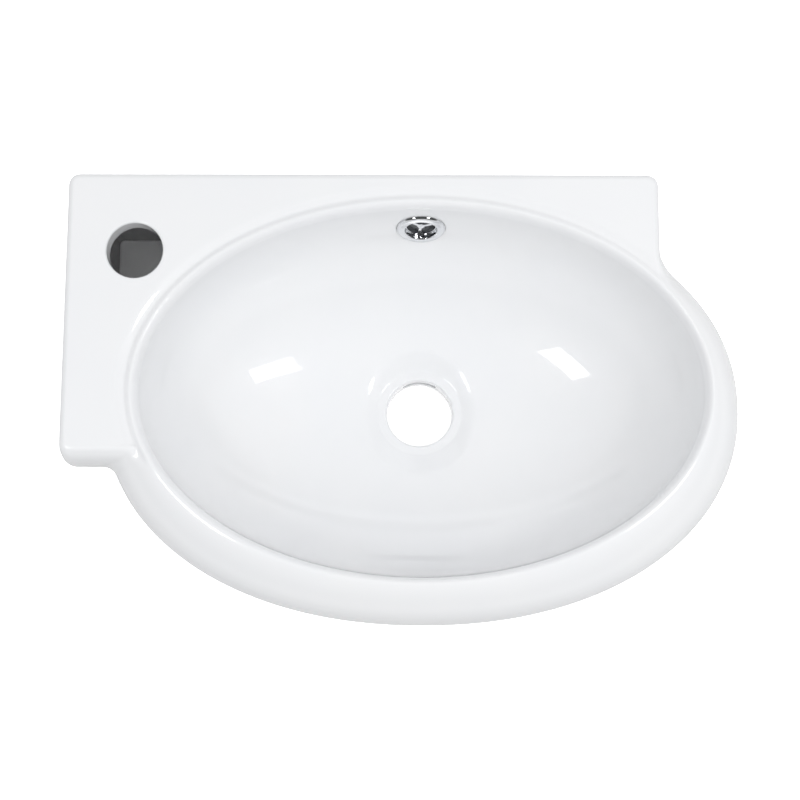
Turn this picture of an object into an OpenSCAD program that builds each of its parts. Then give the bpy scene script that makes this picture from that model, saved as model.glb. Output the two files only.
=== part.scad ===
// Wall-hung cloakroom basin: a slip-cast ceramic casting with a square deck, a rolled
// oval rim and a deep oval bowl, plus its chromed overflow insert and the two bushes
// that line its wall fixing holes.
// The wall is the plane y = 0, the front of the basin looks along -y and z is up.
// The origin lies on the wall, midway between the two fixing holes.

/* [Overall] */
// Width, from the left edge of the deck to the right edge of the rim
basin_w = 420; // [405:1:450]
// Depth, from the wall to the front of the rim
basin_d = 280; // [272:1:300]
// Height, from the deck to the lower edge of the skirt
basin_h = 130; // [125:1:160]

/* [Deck] */
// Distance by which the rim stands out past the right edge of the deck
rim_out = 50; // [42:1:60]
// Depth of the deck on the left, beside the bowl
deck_d = 179; // [160:1:190]
// Thickness of the deck
deck_t = 12; // [10:0.5:18]
// Radius of the deck corners, seen from above
corner_r = 7; // [5:0.5:12]
// Rounding along the top edges of the deck
edge_r = 4.5; // [2:0.5:4.5]
// Radius of the inside corners between deck and rim, seen from above
fillet_r = 9; // [4:1:14]

/* [Bowl] */
// Left edge of the deck to the left edge of the bowl
bowl_left = 46.5; // [44:0.5:60]
// Right edge of the bowl to the right edge of the rim
bowl_right = 23.5; // [20:0.5:30]
// Wall to the back edge of the bowl
bowl_back = 21.5; // [20:0.5:30]
// Front edge of the bowl to the front of the rim
bowl_front = 28.5; // [24:0.5:34]
// Depth of the bowl, deck to the seat of the waste
bowl_depth = 105; // [95:1:108]
// Squareness of the bowl wall, where 2 is an ellipse
bowl_power = 2.5; // [2:0.1:3]
// Thickness of the bowl floor
floor_t = 10; // [8:0.5:14]
// Thickness of the bowl wall at its edge
wall_t = 8; // [7:0.5:12]

/* [Rim] */
// Rounding from the bowl wall up to the crest of the rim
lip_r = 4; // [3:0.5:5]
// Depth at which the rolled rim is widest
roll_h = 27; // [22:1:36]
// Roundness of the roll, where 2 is an ellipse
roll_power = 1.8; // [1.5:0.1:2.2]
// Height over which the rim turns back under to the bowl's outside
under_h = 38; // [30:1:48]
// Gap between the wall and the back of the bowl's outside
rim_back = 10; // [9:0.5:14]
// Squareness of the rim's outer outline, where 2 is an ellipse
rim_power = 2.12; // [2:0.02:2.3]
// Depth of the groove between rim and deck
groove_d = 2; // [1:0.25:3]
// Width of the groove on the side of the rim
groove_in = 4; // [3:0.5:5]
// Width of the groove on the side of the deck
groove_out = 6; // [4:0.5:8]
// Length over which the groove runs out at the edges of the deck
groove_end = 18; // [10:1:30]

/* [Skirt] */
// Thickness of the skirt walls
skirt_t = 9; // [7:0.5:12]
// Height of the front of the left arm
arm_h = 76; // [66:1:90]
// Length along the wall's side for which the left arm keeps its full height
arm_foot = 66; // [40:1:100]
// Run of the skirt's right end past the start of the hollow fillet
right_run = 6; // [4:1:12]
// Height of the skirt's right end where it meets the rim
right_h = 36; // [30:1:44]
// Length for which the right end keeps its full height
right_foot = 16; // [8:1:30]

/* [Tap hole] */
// Diameter of the tap hole
tap_hole_d = 35; // [32:0.5:36]
// Tap hole in from the left edge of the deck
tap_in = 43; // [38:0.5:50]
// Tap hole out from the wall
tap_out = 50; // [42:0.5:60]
// Rounding of the upper edge of the tap hole
tap_edge_r = 1.5; // [0.5:0.25:2]

/* [Waste outlet] */
// Diameter of the waste hole
waste_hole_d = 44.5; // [40:0.5:48]
// Diameter of the flat seat round the waste hole
seat_d = 56; // [54:1:62]
// Outer diameter of the soft recess round the seat
recess_d = 78; // [74:1:90]
// Rounding of the upper edge of the waste hole
waste_edge_r = 2; // [1:0.25:3]
// Length of the waste outlet, seat to its lower face
outlet_l = 19; // [16:0.5:20]
// Diameter of the outlet boss below the bowl
boss_d = 72; // [66:1:84]

/* [Overflow] */
// Depth of the overflow hole's middle below the deck
overflow_h = 35; // [32:0.5:45]
// Upward tilt of the overflow axis, in degrees
overflow_tilt = 15; // [8:1:20]
// Diameter of the overflow hole
overflow_hole_d = 23.5; // [22:0.5:25]
// Width of the overflow channel
channel_w = 26; // [24:1:32]
// Clear height of the overflow channel
channel_t = 8; // [6:0.5:9]
// Thickness of the ceramic round the channel
channel_wall = 6; // [5:0.5:8]
// Thickness of the ceramic between bowl and channel
channel_gap = 7; // [6:0.5:9]
// Rise of the channel past the upper edge of the overflow hole
channel_over = 2; // [1:0.5:4]
// Thickness of the ceramic over the channel where it enters the waste hole
channel_roof = 4.5; // [3.5:0.5:6]

/* [Overflow insert] */
// Diameter of the flange
flange_d = 31.5; // [30:0.5:36]
// Thickness of the flange
flange_t = 2.4; // [1.6:0.1:3]
// Thickness of the flange at its outer edge
flange_edge = 0.6; // [0.4:0.1:1]
// Diameter of the opening
opening_d = 20.5; // [18:0.25:21]
// Wall of the sleeve behind the flange
sleeve_wall = 0.9; // [0.7:0.1:1]
// Length of the sleeve behind the flange
sleeve_l = 13; // [11:0.5:15]
// Height of the snap ridge on the spring fingers
ridge = 0.3; // [0.1:0.05:0.35]
// Length of the snap ridge
ridge_l = 2; // [1:0.25:3]
// Width of the slots between the spring fingers
slot_w = 3; // [2:0.25:4]
// Thickness of the seal behind the flange
seal_t = 1.2; // [0.8:0.1:2]
// Width of the seal
seal_w = 3.2; // [2:0.1:3.5]
// Radial gap between seal and sleeve
seal_play = 0.1; // [0.05:0.05:0.3]
// Number of arms on the spider
arms = 3; // [3:1:6]
// Width of a spider arm
arm_w = 2.2; // [1.4:0.1:3]
// Thickness of the spider's outer ring
spider_rim = 0.9; // [0.6:0.1:1.4]
// Diameter of the spider hub
hub_d = 5; // [4:0.25:7]
// Length of the spider along its axis
spider_l = 5; // [3:0.5:6]
// Set-back of the spider behind the flange face
spider_in = 3.5; // [2.5:0.25:5]
// Radial play of the spider in the sleeve
spider_play = 0.05; // [0.02:0.01:0.1]

/* [Wall fixings] */
// Distance between the two fixing holes
fixing_w = 280; // [260:1:300]
// Depth of the fixing holes below the deck
fixing_h = 50; // [44:1:56]
// Diameter of the fixing holes in the ceramic
fixing_hole_d = 16; // [14:0.5:20]
// Extra thickness of the ceramic round a fixing hole
pad_t = 4; // [2:0.5:6]
// Diameter of the thickened pad
pad_d = 38; // [34:1:44]
// Bore of the bush
bush_bore_d = 10.5; // [8.5:0.5:12]
// Radial play of the bush in its hole
bush_play = 0.05; // [0.02:0.01:0.1]
// Diameter of the bush collar
collar_d = 27; // [24:0.5:32]
// Thickness of the bush collar
collar_t = 2.5; // [2:0.25:4]
// Set-back of the bush from the wall face
bush_back = 0.5; // [0.2:0.1:1.5]

/* [Hidden] */
$fn = 96;

// Points round a whole oval, between a fillet and the first of these, and round each corner
ring_n = 80;
ease_n = 2;
arc_n = 4;
// Levels down the roll of the rim, its turn under, the shell, the lip of the bowl and the bowl
roll_n = 7;
under_n = 4;
shell_n = 4;
lip_n = 3;
bowl_n = 8;
// Power by which the levels of the turn under lie closer together near the top
under_bunch = 1.3;
// The fillet on the right runs on below the end of the skirt by this much
fillet_on = 14;
// Levels of the left arm below that fillet, and how far they run on below its foot
arm_n = 3;
arm_on = 1;
// Smallest corner radius of the space under the deck
pocket_r = 3;
// Length by which a cutter runs past the face it opens
past = 5;
// Gap left between a cutter's end and the tip of a closed bowl
tip = 0.6;
// Steps of the overflow channel up the bowl's wall, the share of the bowl's depth at which it
// leaves the floor, and how far it runs into the waste hole
channel_n = 6;
channel_turn = 0.88;
channel_in = 3;
// How much smaller than the waste hole the rough opening is that the channel drains into
rough_in = 1.5;
// Points round its section, and the squareness of that
duct_n = 16;
duct_power = 4;

deck_z = fixing_h;
half_w = (basin_w - rim_out) / 2;
bowl_a = (basin_w - bowl_left - bowl_right) / 2;
bowl_b = (basin_d - bowl_back - bowl_front) / 2;
bowl_x = -half_w + bowl_left + bowl_a;
bowl_y = bowl_back + bowl_b;
crest_a = bowl_a + lip_r;
crest_b = bowl_b + lip_r;
rim_a = half_w + rim_out - bowl_x;
rim_b = (basin_d - rim_back) / 2;
rim_y = rim_back + rim_b;
// Right side of the block that makes the left arm: it lies inside the shell
arm_x = bowl_x - bowl_a / 2;
// Bowl formula: the floor runs a little above the seat of the waste
floor_rise = 2;
floor_h = bowl_depth - floor_rise;
shell_h = bowl_depth + floor_t;
outlet_h = bowl_depth + outlet_l;
// Height of the recess at its edge, over the seat of the waste
recess_rise = 6;
// How far the flat under the overflow seal is cut into the bowl wall, and its play
seat_sink = 0.9;
seat_play = 0.5;

function mix(a, b, t) = a + (b - a) * t;
function power_of(v, p) = sign(v) * pow(abs(v), p);
function joined(lists) = [for (list = lists) each list];

// Point and outward normal at angle t of an oval of size s = [a, b, middle x, middle y, squareness]
function oval_point(s, t) = [
    s[2] + s[0] * power_of(cos(t), 2 / s[4]),
    s[3] + s[1] * power_of(sin(t), 2 / s[4])
];
function oval_normal(s, t) =
    let (
        e = 2 - 2 / s[4],
        v = [power_of(cos(t), e) / s[0], power_of(sin(t), e) / s[1]]
    ) v / norm(v);

// Outside of the bowl's own wall at depth h
function shell_oval(h) =
    let (t = sqrt(1 - pow(h / shell_h, bowl_power)))
    [(bowl_a + wall_t) * t, (bowl_b + wall_t) * t, bowl_x, -bowl_y, 2];
// How far the rim has rolled outwards at depth h, from 0 at the crest to 1 where it is widest,
// and how much of that it still has where it turns back under
function roll(h) = pow(1 - pow(1 - h / roll_h, 2), 1 / roll_power);
function under(h) = (1 + cos(180 * min(1, (h - roll_h) / under_h))) / 2;

// Outer oval of the basin at depth h: from the crest out to the rim, and back to the shell
function outer_oval(h) =
    let (
        t = h < roll_h ? roll(h) : under(h),
        from = h < roll_h ? [crest_a, crest_b, bowl_x, -bowl_y, 2] : shell_oval(h)
    )
    mix(from, [rim_a, rim_b, bowl_x, -rim_y, rim_power], t);

// Share of the bowl's edge that its wall still has at depth h, and its rounded lip
function bowl_share(h) = sqrt(1 - pow(max(h, 0) / floor_h, bowl_power));
function lip(h) = h >= lip_r ? 0 : lip_r - sqrt(pow(lip_r, 2) - pow(lip_r - max(h, 0), 2));
function bowl_oval(h) = [
    bowl_a * bowl_share(h) + lip(h), bowl_b * bowl_share(h) + lip(h),
    bowl_x, -bowl_y, 2
];

// Inset of the deck's sides at depth h, from its rounded top edge
function edge_inset(h) = h >= edge_r ? 0 : edge_r - sqrt(pow(edge_r, 2) - pow(edge_r - h, 2));

// Angle, between lo and hi, at which a ball of radius r rolling round the oval is level with
// a straight side: axis 0 is the side x = side on the right, axis 1 the side y = side in front
function ball_angle(s, r, axis, side, lo, hi, n = 24) =
    let (
        mid = (lo + hi) / 2,
        ball = (oval_point(s, mid) + r * oval_normal(s, mid))[axis]
    )
    n == 0 ? mid
    : ball > side ? ball_angle(s, r, axis, side, mid, hi, n - 1)
    : ball_angle(s, r, axis, side, lo, mid, n - 1);

function arc(c, r, from, to) = [
    for (i = [0:arc_n]) c + r * [cos(mix(from, to, i / arc_n)), sin(mix(from, to, i / arc_n))]
];

// Angles round the oval s where the fillet in front of the deck and the one on its right touch it
function front_fillet(s, inset) = ball_angle(s, fillet_r, 1, -deck_d + inset - fillet_r, 180, 265);
function right_fillet(s, inset) = ball_angle(s, fillet_r, 0, half_w - inset + fillet_r, 360, 440);

// Depths at which the outside of the rim has its levels, and those of them that have the fillets
rim_depths = concat(
    [for (i = [0:roll_n]) roll_h * (1 - cos(90 * i / roll_n))],
    [for (i = [1:under_n]) roll_h + under_h * pow(i / under_n, under_bunch)]
);
deck_depths = [for (h = rim_depths) if (h < right_h + fillet_on) h];
// First and last point of the oval, counted round the whole of it, that all these levels share
step = 360 / ring_n;
first_i = ceil(max([for (h = deck_depths) front_fillet(outer_oval(h), edge_inset(h))]) / step);
last_i = floor(min([for (h = deck_depths) right_fillet(outer_oval(h), edge_inset(h))]) / step);

// Corners and front fillet of the deck at depth h, and the oval up to the first shared point
function deck_side(h) =
    let (
        inset = edge_inset(h),
        right = half_w - inset,
        front = -deck_d + inset,
        r = corner_r - inset,
        s = outer_oval(h),
        t = front_fillet(s, inset),
        n = -oval_normal(s, t),
        ball = oval_point(s, t) - fillet_r * n
    )
    joined([
        arc([-right + r, -inset - r], r, 90, 180),
        arc([-right + r, front + r], r, 180, 270),
        arc(ball, fillet_r, 90, atan2(n[1], n[0])),
        [for (i = [1:ease_n]) oval_point(s, mix(t, first_i * step, i / (ease_n + 1)))]
    ]);

// Outline of deck and rim together at depth h, counter-clockwise from above
function outline(h) =
    let (
        inset = edge_inset(h),
        right = half_w - inset,
        r = corner_r - inset,
        s = outer_oval(h),
        t = right_fillet(s, inset),
        n = -oval_normal(s, t),
        ball = oval_point(s, t) - fillet_r * n
    )
    joined([
        deck_side(h),
        [for (i = [first_i:last_i]) oval_point(s, step * i)],
        [for (i = [1:ease_n]) oval_point(s, mix(last_i * step, t, i / (ease_n + 1)))],
        arc(ball, fillet_r, atan2(n[1], n[0]) + 360, 180),
        arc([right - r, -inset - r], r, 0, 90)
    ]);

// Outline of the left arm alone at depth h: its right side lies inside the shell
function arm_outline(h) = joined([
    deck_side(h),
    [oval_point(outer_oval(h), first_i * step), [arm_x, -bowl_y], [arm_x, 0]]
]);

function at_depth(points, h) = [for (p = points) [p[0], p[1], deck_z - h]];
function oval_points(s) = [for (i = [0:ring_n - 1]) oval_point(s, 360 * i / ring_n)];
function oval_ring(s, h) = at_depth(oval_points(s), h);
function lowest_first(list) = [for (i = [len(list) - 1:-1:0]) list[i]];
function box_ring(x0, x1, y0, y1, r, h) = at_depth(
    joined([
        arc([x1 - r, y1 - r], r, 0, 90),
        arc([x0 + r, y1 - r], r, 90, 180),
        arc([x0 + r, y0 + r], r, 180, 270),
        arc([x1 - r, y0 + r], r, 270, 360)
    ]), h);

// Solid over rings of equal length, listed from the lowest up
module skin(rings) {
    n = len(rings[0]);
    m = len(rings);
    sides = [
        for (k = [0:m - 2]) for (i = [0:n - 1])
            let (a = k * n + i, b = k * n + (i + 1) % n)
            each [[a, a + n, b + n], [a, b + n, b]]
    ];
    polyhedron(
        points = joined(rings),
        faces = concat([[for (i = [0:n - 1]) i]], sides, [[for (i = [n - 1:-1:0]) (m - 1) * n + i]])
    );
}

// Ring-shaped solid: the rings go once round its section
module band(rings) {
    n = len(rings[0]);
    m = len(rings);
    polyhedron(
        points = joined(rings),
        faces = [
            for (k = [0:m - 1]) for (i = [0:n - 1])
                let (
                    j = (i + 1) % n,
                    q = (k + 1) % m,
                    a = k * n + i,
                    b = k * n + j,
                    c = q * n + i,
                    d = q * n + j
                )
                each [[a, c, d], [a, d, b]]
        ]
    );
}

// Deck and rolled rim, with the hollow fillets between them
module upper_casting() {
    skin([for (h = lowest_first(deck_depths)) at_depth(outline(h), h)]);
}

// Oval outside of the basin, with its rolled rim or as the bowl's plain wall alone
module shell_casting(with_rim) {
    top = roll_h + under_h;
    depths = concat(rim_depths, [for (i = [1:shell_n]) mix(top, shell_h - tip, sin(90 * i / shell_n))]);
    skin([for (h = lowest_first(depths)) oval_ring(with_rim ? outer_oval(h) : shell_oval(h), h)]);
}

// Space of the bowl itself
module bowl_space() {
    depths = concat(
        [-past], [for (i = [0:lip_n]) lip_r * (1 - cos(90 * i / lip_n))],
        [for (i = [1:bowl_n]) mix(lip_r, floor_h - tip, sin(90 * i / bowl_n))]
    );
    skin([for (h = lowest_first(depths)) oval_ring(bowl_oval(h), h)]);
}

// Soft recess round the waste hole: a flat seat that sweeps up to the bowl floor
module waste_recess() {
    sweep_n = 4;
    seat_r = seat_d / 2;
    run = recess_d / 2 - seat_r;
    translate([bowl_x, -bowl_y, deck_z - bowl_depth])
        rotate_extrude($fn = ring_n)
            polygon(concat(
                [[0, recess_rise + past], [0, 0]],
                [
                    for (i = [0:sweep_n])
                        [seat_r + run * i / sweep_n, recess_rise * (1 - cos(90 * i / sweep_n))]
                ],
                [[seat_r + run + past, recess_rise + past]]
            ));
}

// Share of its depth that the groove has at the point p: all of it inside the deck, none where
// the deck has ended and the rim falls away by itself
function groove_share(p) =
    let (inside = min(half_w - p[0], p[1] + deck_d) / groove_end, t = max(0, min(1, inside + 0.5)))
    t * t * (3 - 2 * t);

// Groove that frees the rounded crest of the rim from the deck
module rim_groove() {
    half_n = 3;
    function wave(i) = groove_d * (1 - cos(180 * i / half_n)) / 2;
    section = concat(
        [for (i = [0:half_n]) [groove_in * i / half_n, wave(i)]],
        [for (i = [1:half_n]) [groove_in + groove_out * i / half_n, wave(half_n - i)]],
        [[groove_in + groove_out, -past], [0, -past]]
    );
    band([
        for (q = section)
            [
                for (p = oval_points([crest_a + q[0], crest_b + q[0], bowl_x, -bowl_y, 2]))
                    [p[0], p[1], deck_z - (q[1] > 0 ? q[1] * groove_share(p) : q[1])]
            ]
    ]);
}

// Deck, left arm and the skirt along the wall. Its lower edge sweeps up towards the front: on
// the left to the foot of the arm, on the right to the underside of the rim.
module deck_and_skirt() {
    widest = outer_oval(roll_h);
    right_d = right_run - oval_point(widest, right_fillet(widest, 0))[1];
    deepest = deck_depths[len(deck_depths) - 1];
    arm_depths = [for (i = [0:arm_n]) mix(deepest, arm_h + arm_on, i / arm_n)];
    difference() {
        union() {
            upper_casting();
            skin([for (h = lowest_first(arm_depths)) at_depth(arm_outline(h), h)]);
            skin([for (h = [basin_h, deepest]) box_ring(-half_w, arm_x, -deck_d, 0, corner_r, h)]);
            skin([for (h = [basin_h, deepest]) box_ring(-half_w, half_w, -right_d, 0, corner_r, h)]);
        }
        lower_edge_cut(-half_w - past, bowl_x, arm_foot, deck_d, arm_h);
        lower_edge_cut(bowl_x, basin_w - half_w + past, right_foot, right_d, right_h);
    }
}

// What is cut away between x0 and x1 below a lower edge that keeps its full height up to
// from and has risen to depth h at to
module lower_edge_cut(x0, x1, from, to, h) {
    edge_n = 8;
    rise = basin_h - h;
    translate([x0, 0, deck_z - basin_h])
        rotate([90, 0, 90])
            linear_extrude(x1 - x0)
                polygon(concat(
                    [
                        for (i = [0:edge_n])
                            [-mix(from, to, sin(90 * i / edge_n)), rise * (1 - cos(90 * i / edge_n))]
                    ],
                    [[-basin_d - past, rise], [-basin_d - past, -past], [-from, -past]]
                ));
}

// Space under the deck, open below, all round the outside of the bowl
module underside_space() {
    r = max(corner_r - skirt_t, pocket_r);
    difference() {
        skin([
            for (h = [basin_h + past, deck_t])
                box_ring(-half_w + skirt_t, half_w - skirt_t, -deck_d + skirt_t, -skirt_t, r, h)
        ]);
        shell_casting(with_rim = false);
        outlet_boss();
        overflow_duct(channel_wall);
        fixing_pads();
    }
}

module outlet_boss() {
    translate([bowl_x, -bowl_y, deck_z - outlet_h])
        cylinder(h = outlet_l + floor_t, d = boss_d, $fn = ring_n / 2);
}

// The waste opening as it is cast, before the hole is cut true
module rough_outlet() {
    translate([bowl_x, -bowl_y, deck_z - outlet_h - past])
        cylinder(h = outlet_l + 2 * past, r = waste_hole_d / 2 - rough_in, $fn = ring_n / 2);
}

module fixing_pads() {
    for (side = [-1, 1])
        translate([side * fixing_w / 2, 0, 0])
            rotate([90, 0, 0])
                cylinder(h = skirt_t + pad_t, d = pad_d, $fn = ring_n / 2);
}

// Middle line of the overflow channel in the plane x = bowl_x, as [y, z], from the waste
// hole up: it follows the bowl's back wall at an even distance
function wall_slope(h) =
    -bowl_b * bowl_power / (2 * floor_h) * pow(h / floor_h, bowl_power - 1) / bowl_share(h);
function wall_point(h, gap) =
    let (n = [1, wall_slope(h)] / norm([1, wall_slope(h)]))
    [-bowl_y + bowl_b * bowl_share(h), deck_z - h] + gap * n;
channel_top = overflow_h - overflow_hole_d / 2 - channel_over;
channel_z = deck_z - bowl_depth - channel_t / 2 - channel_roof;
channel_line = concat(
    [
        [-bowl_y + waste_hole_d / 2 - channel_in, channel_z],
        [-bowl_y + recess_d / 2, channel_z]
    ],
    [
        for (i = [0:channel_n])
            wall_point(mix(channel_turn * floor_h, channel_top, i / channel_n), channel_gap + channel_t / 2)
    ]
);

// The overflow channel with this much ceramic round it, which then reaches up into the deck;
// none gives the channel's own space
module overflow_duct(around) {
    top = channel_line[len(channel_line) - 1];
    line = around > 0 ? concat(channel_line, [[top[0], deck_z - deck_t / 2]]) : channel_line;
    last = len(line) - 1;
    function run(i) = line[min(i + 1, last)] - line[max(i - 1, 0)];
    across = channel_w / 2 + around;
    deep = channel_t / 2 + around;
    skin([
        for (i = [0:last])
            let (t = run(i) / norm(run(i)), normal = [t[1], -t[0]])
            [
                for (k = [0:duct_n - 1])
                    let (
                        u = across * power_of(cos(360 * k / duct_n), 2 / duct_power),
                        v = deep * power_of(sin(360 * k / duct_n), 2 / duct_power)
                    )
                    [bowl_x + u, line[i][0] + v * normal[0], line[i][1] + v * normal[1]]
            ]
    ]);
}

// The whole casting before its holes are cut, brought to its listed size
module casting() {
    resize([basin_w, basin_d, basin_h])
        difference() {
            union() {
                deck_and_skirt();
                shell_casting(with_rim = true);
                outlet_boss();
                overflow_duct(channel_wall);
            }
            bowl_space();
            waste_recess();
            rim_groove();
            underside_space();
            overflow_duct(0);
            rough_outlet();
        }
}

// Cutter for a round hole of diameter d with a rounded upper edge, from the face z = 0 down
module hole_cutter(d, l, edge) {
    edge_n = 6;
    translate([0, 0, -l - past]) cylinder(h = l + 2 * past, d = d);
    rotate_extrude()
        polygon(concat(
            [[0, past], [0, -edge]],
            [
                for (i = [0:edge_n])
                    [d / 2 + edge * (1 - cos(90 * i / edge_n)), edge * (sin(90 * i / edge_n) - 1)]
            ],
            [[d / 2 + edge, past]]
        ));
}

module basin_body() {
    color("white")
        difference() {
            casting();
            translate([tap_in - half_w, -tap_out, deck_z]) hole_cutter(tap_hole_d, deck_t, tap_edge_r);
            translate([bowl_x, -bowl_y, deck_z - bowl_depth])
                hole_cutter(waste_hole_d, outlet_l, waste_edge_r);
            at_overflow() overflow_cutter();
            for (side = [-1, 1])
                translate([side * fixing_w / 2, past, 0])
                    rotate([90, 0, 0])
                        cylinder(h = skirt_t + pad_t + 2 * past, d = fixing_hole_d);
        }
}

// Seat of the overflow insert on the bowl's back wall, with z along its axis and y upwards
seat_point = wall_point(overflow_h, seat_sink);
module at_overflow() {
    translate([bowl_x, seat_point[0], seat_point[1]])
        rotate([90 - overflow_tilt, 0, 0])
            children();
}

// Hole into the overflow channel and the flat that the seal lies on
module overflow_cutter() {
    hole_l = channel_gap + channel_t / 2;
    translate([0, 0, -hole_l]) cylinder(h = hole_l + past, d = overflow_hole_d);
    cylinder(h = past, d = flange_d + 2 * seat_play);
}

// Chromed flange and sleeve, slotted into spring fingers behind
module overflow_ring() {
    back = seal_t;
    inner = opening_d / 2;
    outer = inner + sleeve_wall;
    crown_n = 8;
    color("silver")
        at_overflow()
            difference() {
                rotate_extrude()
                    polygon(concat(
                        [
                            [inner, back + flange_t], [inner, -sleeve_l], [outer, -sleeve_l],
                            [outer + ridge, ridge_l / 2 - sleeve_l], [outer, ridge_l - sleeve_l],
                            [outer, back], [flange_d / 2, back]
                        ],
                        [
                            for (i = [0:crown_n])
                                [
                                    mix(flange_d / 2, outer, i / crown_n),
                                    back + mix(flange_edge, flange_t, sin(90 * i / crown_n))
                                ]
                        ]
                    ));
                for (i = [0:arms - 1])
                    rotate([0, 0, 360 * (i + 0.25) / arms])
                        translate([0, -slot_w / 2, -sleeve_l - past])
                            cube([outer + past, slot_w, sleeve_l / 2 + past]);
            }
}

// Y-shaped guard inside the sleeve
module overflow_spider() {
    r = opening_d / 2 - spider_play;
    face = seal_t + flange_t - spider_in;
    color("silver")
        at_overflow()
            translate([0, 0, face - spider_l]) {
                difference() {
                    cylinder(h = spider_l, r = r);
                    translate([0, 0, -past]) cylinder(h = spider_l + 2 * past, r = r - spider_rim);
                }
                cylinder(h = spider_l, d = hub_d);
                for (i = [0:arms - 1])
                    rotate([0, 0, 360 * i / arms - 90])
                        translate([0, -arm_w / 2, 0])
                            cube([r - spider_rim / 2, arm_w, spider_l]);
            }
}

// Soft seal between flange and ceramic
module overflow_seal() {
    inner = opening_d / 2 + sleeve_wall + seal_play;
    color("gainsboro")
        at_overflow()
            difference() {
                cylinder(h = seal_t, r = inner + seal_w);
                translate([0, 0, -past]) cylinder(h = seal_t + 2 * past, r = inner);
            }
}

// Collared bush that keeps the fixing bolt off the ceramic
module fixing_bush(side) {
    depth = skirt_t + pad_t;
    color("whitesmoke")
        translate([side * fixing_w / 2, 0, 0])
            rotate([90, 0, 0])
                difference() {
                    union() {
                        translate([0, 0, bush_back])
                            cylinder(h = depth - bush_back, d = fixing_hole_d - 2 * bush_play);
                        translate([0, 0, depth]) cylinder(h = collar_t, d = collar_d);
                    }
                    translate([0, 0, -past]) cylinder(h = depth + collar_t + 2 * past, d = bush_bore_d);
                }
}
module left_fixing_bush() {
    fixing_bush(-1);
}
module right_fixing_bush() {
    fixing_bush(1);
}

basin_body();
overflow_ring();
overflow_spider();
overflow_seal();
left_fixing_bush();
right_fixing_bush();
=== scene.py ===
# %% [markdown]
# The wall-hung basin, dressed for its picture. The construction comes in finished, from the
# frame: a slip-cast ceramic body, a chromed overflow insert in its bowl and a bush in each of
# the two holes for the wall bolts. What is left to do here is everything the eye sees: a
# smooth glazed skin for the casting, finer metal and plastic pieces, the finish of each, the
# lights and the camera. Everything ends up in metres, and the frame's origin lies on the wall,
# midway between the two fixing holes, with the front of the basin towards -y.

# %% Load the frame
import math
import bmesh
import bpy
from mathutils import Matrix, Vector


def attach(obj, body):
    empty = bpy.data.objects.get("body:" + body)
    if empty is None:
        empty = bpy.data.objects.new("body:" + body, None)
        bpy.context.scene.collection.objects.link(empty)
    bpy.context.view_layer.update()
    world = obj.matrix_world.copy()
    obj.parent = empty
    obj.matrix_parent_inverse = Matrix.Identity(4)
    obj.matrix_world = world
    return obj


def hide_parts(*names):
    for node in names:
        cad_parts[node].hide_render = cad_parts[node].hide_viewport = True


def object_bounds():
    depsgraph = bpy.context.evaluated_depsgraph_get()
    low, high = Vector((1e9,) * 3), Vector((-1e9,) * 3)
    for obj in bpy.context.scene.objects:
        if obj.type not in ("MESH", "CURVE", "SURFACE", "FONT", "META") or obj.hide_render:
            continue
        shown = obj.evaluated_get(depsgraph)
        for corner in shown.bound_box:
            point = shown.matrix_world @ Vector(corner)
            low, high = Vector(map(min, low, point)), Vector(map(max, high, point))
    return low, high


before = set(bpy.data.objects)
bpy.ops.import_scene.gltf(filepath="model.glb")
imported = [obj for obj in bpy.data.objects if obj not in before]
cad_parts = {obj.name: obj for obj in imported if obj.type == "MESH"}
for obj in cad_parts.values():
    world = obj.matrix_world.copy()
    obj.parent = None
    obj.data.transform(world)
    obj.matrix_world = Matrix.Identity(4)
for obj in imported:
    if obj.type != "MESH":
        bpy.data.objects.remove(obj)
cad_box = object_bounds()
MM = 0.001
print("nodes", sorted(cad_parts))

# %% [markdown]
# The picture was taken from almost straight above, 81 degrees up, with a normal lens 0.9 m
# from the deck. A camera in Blender looks down its own -z axis, so its three axes are laid out
# as a matrix: right, up and back.

# %% Camera
CAMERA_HEIGHT, CAMERA_ROLL, CAMERA_DISTANCE = 81.0, 0.15, 0.9
LENS, FAR_LIMIT = 66.3, 20.0
AIM = Vector((23.2, -143.9, 50.0)) * MM


def place_camera():
    up_angle = math.radians(CAMERA_HEIGHT)
    back = Vector((0, -math.cos(up_angle), math.sin(up_angle)))
    right = Vector((1, 0, 0))
    up = back.cross(right)
    turn = Matrix.Rotation(math.radians(CAMERA_ROLL), 3, back)
    axes = Matrix((turn @ right, turn @ up, back)).transposed()
    data = bpy.data.cameras.new("camera")
    data.lens = LENS
    data.clip_end = FAR_LIMIT
    camera = bpy.data.objects.new("camera", data)
    camera.matrix_world = Matrix.Translation(AIM + back * CAMERA_DISTANCE) @ axes.to_4x4()
    bpy.context.scene.collection.objects.link(camera)
    bpy.context.scene.camera = camera
    return camera


camera = place_camera()
print("camera at", [round(v, 4) for v in camera.matrix_world.translation])

# %% [markdown]
# The glazed casting is the whole picture, and a glaze mirrors the lamps, so its facets must be
# far finer than the frame's. The casting is drawn again from the same outlines: ovals for the
# bowl and its shell, and a deck with rounded corners that runs into the rolled rim through
# hollow fillets. All of these lengths are millimetres, and a depth is measured down from the
# deck. An oval is given by its two half widths, its middle and a power: 2 for an ellipse, more
# for squarer shoulders.

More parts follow.
